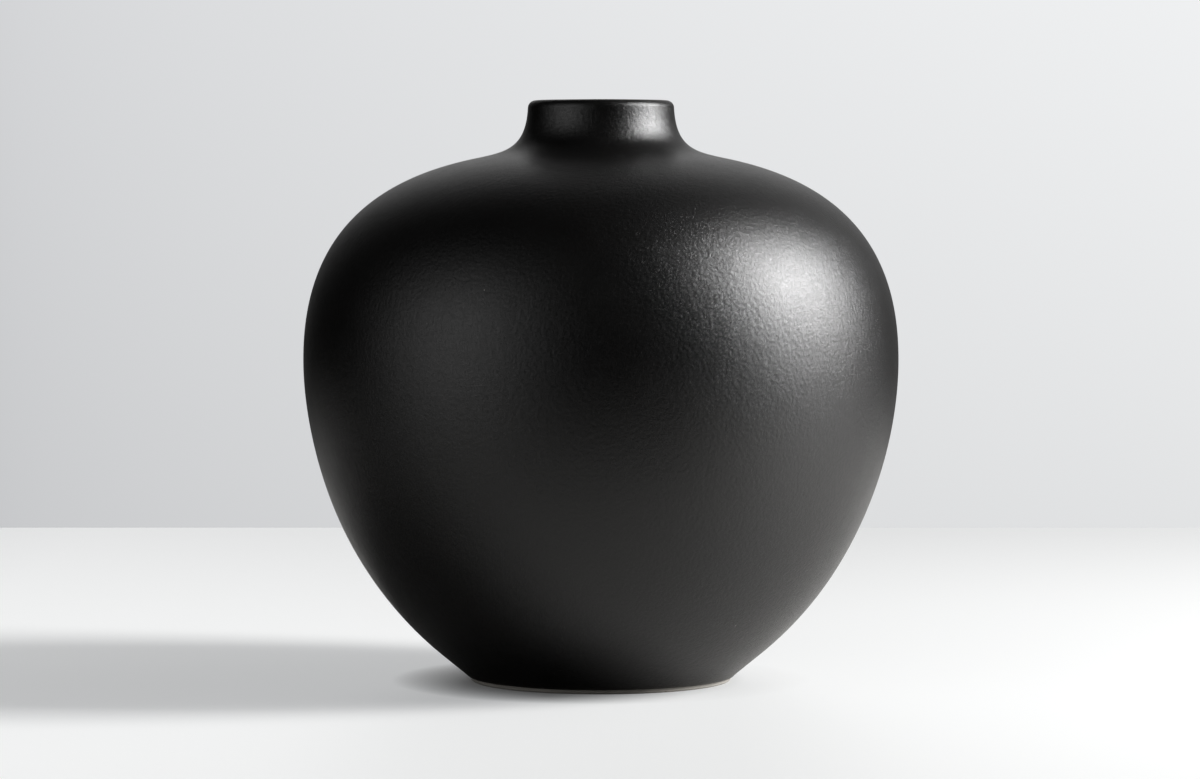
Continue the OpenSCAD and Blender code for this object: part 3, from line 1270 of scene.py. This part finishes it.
@dataclass
class GlazeCoats:
    """The sprayed coat outside, the poured lining inside, and the coat in the foot's recess.

    Attributes:
        form: the vase's form.
        waver: swells of the outer coat.
        recess_waver: swells of the coat in the recess.
        lip_waver: uneven run of the coat's lower edge.
        rings: the clay's throwing rings, which the lining follows.
        lip_reach: size of the lip's rounding.
        lip_fade: height over which the coat above the lip gets its full thickness.
        rim_thin: how thin the coat has run on top of the rim.
        rim_thin_h: height of the rim over which it runs thin.
        flare_steps: steps of the outer skin up the flare.
        wall_steps: steps of the outer skin along each bowl.
        neck_steps: steps of the outer skin up the neck.
        side_steps: steps down the foot's inner wall.
        lining_steps: steps of the lining along each bowl.
        satin_segments: steps round the axis of the outer coat.
        lining_segments: steps round the axis of the lining.
    """

    form: VaseForm
    waver: HandWaver = HandWaver(height=0.04, wave_mm=95.0, seed=11)
    recess_waver: HandWaver = HandWaver(height=0.03, wave_mm=14.0, seed=5)
    lip_waver: HandWaver = HandWaver(height=0.05, wave_mm=30.0, seed=3, most_lobes=17)
    rings: ThrowingRings = ThrowingRings()
    lip_reach: float = 0.32
    lip_fade: float = 0.8
    rim_thin: float = 0.5
    rim_thin_h: float = 1.0
    flare_steps: int = 10
    wall_steps: int = 46
    neck_steps: int = 32
    side_steps: int = 4
    lining_steps: int = 54
    satin_segments: int = 384
    lining_segments: int = 240

    def make(self, workshop: Workshop) -> None:
        """Build the three coats.

        Args:
            workshop: gives each piece its finish and its place in the model.
        """
        workshop.settle("satin_coat", self._satin(), "outer_glaze", Slot.SATIN,
                        self.satin_segments)
        workshop.settle("water_lining", self._lining(), "inner_glaze", Slot.LINER,
                        self.lining_segments)
        workshop.settle("recess_coat", self._recess(), "recess_glaze", Slot.SATIN)

    def _satin(self) -> Outline:
        """The coat from its lip over the foot up to the rim and back along the clay.

        Returns:
            The outline of the coat.
        """
        form = self.form
        edge = np.array([form.flare_clay_r(form.bare_h), form.bare_h])
        flare = form.flare(self.flare_steps).places
        lip = soft_corner(edge, flare[0], flare[-1], self.lip_reach, RIM_STEPS)
        flare = np.concatenate([lip[-1:], flare[1:]])
        near_lip = np.exp((form.bare_h - flare[:, 1]) / self.lip_fade)
        rim = form.rim(0.0, 2 * RIM_STEPS)
        topmost = np.clip((rim[:, 1] - form.height) / self.rim_thin_h + 1.0, 0.0, 1.0)
        skin = (Outline()
                .add(lip, self.lip_waver, between_ends(lip), 1.0)
                .add(flare, self.waver, 1.0 - near_lip, near_lip)
                .add(form.lower(self.wall_steps).places, self.waver)
                .add(form.upper(self.wall_steps).places, self.waver)
                .add(form.neck(self.neck_steps).places, self.waver)
                .add(rim, self.waver, np.linspace(1.0, 0.0, len(rim)),
                     self.rim_thin * topmost**2))
        contact = [form.flare(1).inset(form.glaze_t),
                   form.lower(CLAY_STEPS).inset(form.glaze_t),
                   form.upper(CLAY_STEPS).inset(form.glaze_t),
                   form.neck(CLAY_STEPS // 2).inset(form.glaze_t),
                   form.rim(form.glaze_t, RIM_STEPS)]
        return skin.add(np.concatenate(contact)[::-1]).add(edge[None, :])

    def _lining(self) -> Outline:
        """The lining: pressed on to the clay's rings on one side and showing them inside.

        Returns:
            The outline of the lining.
        """
        form, steps = self.form, self.lining_steps
        joint = Stretch(form.base_joint[None, :], outward(form.flare_way[None, :]))

        def layer(depth: float) -> np.ndarray:
            """The line of the lining a depth inside the clay, from the axis to the rim.

            Args:
                depth: how far inside the clay the line lies.

            Returns:
                The points, one row each.
            """
            return np.concatenate([
                form.floor(depth, steps // 2), form.back(joint, depth),
                form.back(form.lower(steps), depth), form.back(form.upper(steps), depth),
                form.throat(depth, steps // 3)])

        return (Outline().add(layer(0.0), Pressed(self.rings))
                .add(layer(form.glaze_t)[::-1], self.rings))

    def _recess(self) -> Outline:
        """The coat under the floor, down the foot's inner wall, with a rounded lip.

        Returns:
            The outline of the coat.
        """
        form = self.form
        roof_z = form.foot_h + form.slip_t
        face_r, face_z = form.recess_r - form.glaze_t, roof_z - form.glaze_t
        corner = 2 * form.glaze_t
        bend = arc(np.array([face_r - corner, face_z - corner]), corner, 90.0, 0.0, RIM_STEPS)
        lip = soft_corner(bend[-1], np.array([face_r, form.bare_h]),
                          np.array([form.recess_r, form.bare_h]), self.lip_reach / 2,
                          RIM_STEPS)
        face = straight([0.0, face_z], bend[0], self.wall_steps)
        return (Outline().add(face, self.recess_waver, between_ends(face))
                .add(bend).add(lip, thin=1.0)
                .add(straight([form.recess_r, form.bare_h], [form.recess_r, roof_z],
                              self.side_steps))
                .add(straight([form.recess_r, roof_z], [0.0, roof_z], self.wall_steps // 2)))


# ---- Studio ----


@dataclass
class Table:
    """A pale table with the vase near its front edge.

    Lengths are metres. The seen colours are those that the camera meets, and they go from far
    to near between two places across the table: painted light, darker where the key light is
    stronger, to cancel its fall-off along the table.

    Attributes:
        half_w: half the table's width.
        front_y: place of its front edge.
        back_y: place of its back edge.
        thick: thickness of its top.
        edge_r: rounding of its edges.
        edge_steps: steps in that rounding.
        colour: colour that reflects light on to the vase.
        painted_seen_far: painted seen colour on the side away from the key light, lighter
            there.
        painted_seen_near: painted seen colour on the side towards it, darker there to cancel
            its light.
        painted_glow: painted glow added to the seen colour, in place of soft room light.
        even_from: place across the table where the far colour ends.
        even_to: place across the table where the near colour starts.
        painted_shade_reach: distance from the foot over which painted shade darkens the table.
        open_from: place across the table where the painted shade starts to lift, as the key
            light reaches in.
        open_to: place across the table where it has opened it.
        open_share: how far it opens it.
        roughness: roughness of the lacquer.
    """

    half_w: float = 0.60
    front_y: float = -0.375
    back_y: float = 0.78
    thick: float = 0.035
    edge_r: float = 0.003
    edge_steps: int = 3
    colour: str = "#c3c2c0"
    painted_seen_far: str = "#acacab"
    painted_seen_near: str = "#888887"
    painted_glow: str = "#b2b3b4"
    even_from: float = -0.30
    even_to: float = 0.05
    painted_shade_reach: float = 0.022
    open_from: float = -0.02
    open_to: float = 0.035
    open_share: float = 0.85
    roughness: float = 0.55

    def make(self) -> None:
        """Build the table top as a slab with softened edges, under the vase's foot."""
        corners = np.array([[x, y, z] for z in (-self.thick, 0.0)
                            for y in (self.front_y, self.back_y)
                            for x in (-self.half_w, self.half_w)])
        faces = [(0, 2, 3, 1), (4, 5, 7, 6), (0, 1, 5, 4), (1, 3, 7, 5), (3, 2, 6, 7),
                 (2, 0, 4, 6)]
        mesh = bpy.data.meshes.new("table_top")
        mesh.from_pydata(corners.tolist(), [], faces)
        top = bpy.data.objects.new("table_top", mesh)
        bpy.context.scene.collection.objects.link(top)
        soften = top.modifiers.new("soft_edges", "BEVEL")
        soften.width, soften.segments = self.edge_r, self.edge_steps
        mesh.materials.append(self._finish())

    def _finish(self) -> bpy.types.Material:
        """Matt white lacquer, with painted light for the camera.

        To the camera it has a painted glow in place of soft room light, dimmed by painted
        shade next to the foot, and a painted colour that takes less of the key light on that
        light's side, so the table looks the same from end to end. The colour that reflects on
        to the vase has the same painted shade next to the foot.

        Returns:
            The material.
        """
        material, tree, place = new_material("matt_white_lacquer")
        across = add_node(tree, "SeparateXYZ", {"Vector": place}).outputs["X"]
        # Painted shade: ambient occlusion darkens the table's colour and glow next to the
        # foot, but less where the key light reaches in.
        near = add_node(tree, "AmbientOcclusion", {"Distance": self.painted_shade_reach})
        reached = add_node(tree, "MapRange", {
            "Value": across, "From Min": self.open_from, "From Max": self.open_to,
            "To Max": self.open_share})
        shade = add_node(tree, "MapRange", {
            "Value": near.outputs["AO"], "To Min": reached.outputs["Result"]})
        # Painted shade in the colour that reflects on to the vase.
        shaded = add_node(tree, "Mix", {
            0: shade.outputs["Result"], COLOUR_A: paint("#000000"),
            COLOUR_B: paint(self.colour)}, data_type="RGBA")
        plain = add_node(tree, "BsdfPrincipled", {
            "Base Color": shaded.outputs[COLOUR_OUT], "Roughness": self.roughness})
        # Painted light: the seen colour is darker on the key light's side, to cancel its
        # fall-off.
        along = add_node(tree, "MapRange", {
            "Value": across, "From Min": self.even_from, "From Max": self.even_to})
        evened = add_node(tree, "Mix", {
            0: along.outputs["Result"], COLOUR_A: paint(self.painted_seen_far),
            COLOUR_B: paint(self.painted_seen_near)}, data_type="RGBA")
        # Painted glow for the camera, dimmed by the painted shade, in place of soft room
        # light.
        seen = add_node(tree, "BsdfPrincipled", {
            "Base Color": evened.outputs[COLOUR_OUT], "Roughness": self.roughness,
            "Emission Color": paint(self.painted_glow),
            "Emission Strength": shade.outputs["Result"]})
        path = add_node(tree, "LightPath")
        both = add_node(tree, "MixShader", {
            0: path.outputs["Is Camera Ray"], 1: plain.outputs["BSDF"],
            2: seen.outputs["BSDF"]})
        add_node(tree, "OutputMaterial", {"Surface": both.outputs["Shader"]})
        return material


@dataclass
class SoftLight:
    """A flat soft light that faces a point, in metres and watts."""

    name: str
    place: tuple[float, float, float]
    size: tuple[float, float]
    power: float
    target: tuple[float, float, float] = (0.0, 0.0, 0.12)
    tint: str = "#ffffff"

    def make(self) -> None:
        """Add the light, turned to its target."""
        lamp = bpy.data.lights.new(self.name, "AREA")
        lamp.shape, lamp.size, lamp.size_y = "RECTANGLE", self.size[0], self.size[1]
        lamp.energy, lamp.color = self.power, paint(self.tint)[:3]
        light = bpy.data.objects.new(self.name, lamp)
        light.location, light.visible_camera = self.place, False
        aim = Vector(self.target) - Vector(self.place)
        light.rotation_euler = aim.to_track_quat("-Z", "Y").to_euler()
        bpy.context.scene.collection.objects.link(light)


# A glow has fallen to e to minus this, about a half, at its spread.
GLOW_FALL = 0.7


@dataclass(frozen=True)
class Glow:
    """A soft patch of light far away, in one direction of the room.

    Attributes:
        azimuth: direction round the room in degrees, from right of the vase to behind it.
        elevation: degrees above the level.
        strength: brightness at the patch's middle.
        spread_deg: degrees from the middle at which it has about half its brightness.
    """

    azimuth: float
    elevation: float
    strength: float
    spread_deg: float = 20.0

    def add(self, tree: bpy.types.NodeTree, way: bpy.types.NodeSocket,
            before: bpy.types.NodeSocket | float) -> bpy.types.NodeSocket:
        """Add the glow to a sum: its strength times e to minus how far a direction turns away.

        Args:
            tree: the world's node tree.
            way: directions in the room.
            before: the sum so far.

        Returns:
            Socket of the new sum.
        """
        turn, climb = math.radians(self.azimuth), math.radians(self.elevation)
        aim = (math.cos(turn) * math.cos(climb), math.sin(turn) * math.cos(climb),
               math.sin(climb))
        facing = add_node(tree, "VectorMath", {0: way, 1: aim}, operation="DOT_PRODUCT")
        away = add_node(tree, "Math", {0: facing.outputs["Value"], 1: 1.0},
                        operation="SUBTRACT")
        narrow = GLOW_FALL / (1.0 - math.cos(math.radians(self.spread_deg)))
        scaled = add_node(tree, "Math", {0: away.outputs["Value"], 1: narrow},
                          operation="MULTIPLY")
        patch = add_node(tree, "Math", {0: scaled.outputs["Value"]}, operation="EXPONENT")
        total = add_node(tree, "Math", {
            0: patch.outputs["Value"], 1: self.strength, 2: before}, operation="MULTIPLY_ADD")
        return total.outputs["Value"]


@dataclass
class Backdrop:
    """The room: a pale wall in view with painted light on it, and soft glows round the room
    that light the scene.

    Attributes:
        left: the wall's painted colour at the left, darker, away from the key light.
        right: the wall's painted colour at the right, lighter, on the key light's side.
        half_view: sideways share of a direction at which the colours are full.
        bend: power of the way from left to right.
        low: upward share of a direction at which the wall has its low level.
        high: upward share of a direction at which the wall has its high level.
        low_level: painted brightness of the wall low down.
        high_level: painted brightness of the wall high up, lighter.
        glows: the glows that light the scene.
    """

    left: str = "#d5d6d8"
    right: str = "#eff0f1"
    half_view: float = 0.14
    bend: float = 0.65
    low: float = -0.09
    high: float = 0.045
    low_level: float = 0.905
    high_level: float = 1.025
    glows: tuple[Glow, ...] = (
        Glow(0.0, 30.0, 1.1), Glow(0.0, -12.0, 4.1), Glow(355.0, 8.0, 0.4),
        Glow(30.0, 30.0, 0.6), Glow(88.0, 19.0, 1.0, 16.0), Glow(90.0, 40.0, 0.13),
        Glow(213.0, 9.0, 4.6, 14.0), Glow(211.0, 32.0, 0.6, 16.0))

    def make(self) -> None:
        """Build the world, split between what is seen and what lights the scene."""
        world = bpy.data.worlds.new("studio_room")
        world.use_nodes = True
        bpy.context.scene.world = world
        tree = world.node_tree
        tree.nodes.clear()
        way = add_node(tree, "TexCoord").outputs["Generated"]
        parts = add_node(tree, "SeparateXYZ", {"Vector": way})
        # Painted light on the wall: lighter to the right, on the key light's side, and lighter
        # high up.
        across = add_node(tree, "MapRange", {
            "Value": parts.outputs["X"], "From Min": -self.half_view,
            "From Max": self.half_view})
        bent = add_node(tree, "Math", {0: across.outputs["Result"], 1: self.bend},
                        operation="POWER")
        wall = add_node(tree, "Mix", {
            0: bent.outputs["Value"], COLOUR_A: paint(self.left),
            COLOUR_B: paint(self.right)}, data_type="RGBA")
        upwards = add_node(tree, "MapRange", {
            "Value": parts.outputs["Z"], "From Min": self.low, "From Max": self.high,
            "To Min": self.low_level, "To Max": self.high_level})
        seen = add_node(tree, "Background", {
            "Color": wall.outputs[COLOUR_OUT], "Strength": upwards.outputs["Result"]})
        total: bpy.types.NodeSocket | float = 0.0
        for glow in self.glows:
            total = glow.add(tree, way, total)
        light = add_node(tree, "Background", {"Strength": total})
        path = add_node(tree, "LightPath")
        both = add_node(tree, "MixShader", {
            0: path.outputs["Is Camera Ray"], 1: light.outputs["Background"],
            2: seen.outputs["Background"]})
        add_node(tree, "OutputWorld", {"Surface": both.outputs["Shader"]})


@dataclass
class Viewpoint:
    """A long lens in front of the vase, a little below its rim, looking slightly down."""

    place: tuple[float, float, float] = (-0.0004, -1.7681, 0.2066)
    down_deg: float = 2.789
    lens: float = 128.2
    sensor: float = 36.0

    def make(self) -> None:
        """Add the camera and make it the scene's own."""
        data = bpy.data.cameras.new("viewpoint")
        data.lens, data.sensor_width = self.lens, self.sensor
        camera = bpy.data.objects.new("viewpoint", data)
        camera.location = self.place
        camera.rotation_euler = (math.radians(90.0 - self.down_deg), 0.0, 0.0)
        bpy.context.scene.collection.objects.link(camera)
        bpy.context.scene.camera = camera


@dataclass
class Studio:
    """Table, room, key light and camera, and the contrast of the view."""

    key: SoftLight = field(default_factory=lambda: SoftLight(
        "key_light", place=(1.156, -0.09, 0.72), size=(0.36, 0.80), power=52.0))
    contrast: float = 1.15

    def make(self) -> None:
        """Set up everything that isn't the vase."""
        view = bpy.context.scene.view_settings
        view.view_transform, view.gamma = "Standard", 1.0 / self.contrast
        for part in (Viewpoint(), Table(), Backdrop(), self.key):
            part.make()


def main() -> None:
    """Build the studio and the vase, and log the number of faces of each piece of the vase."""
    logging.basicConfig(level=logging.INFO, format="%(name)s: %(message)s")
    Studio().make()
    form, workshop = VaseForm(), Workshop.open()
    for part in (FootAndFloor(form), ThrownWalls(form), Neck(form), GlazeCoats(form)):
        part.make(workshop)


if __name__ == "__main__":
    main()
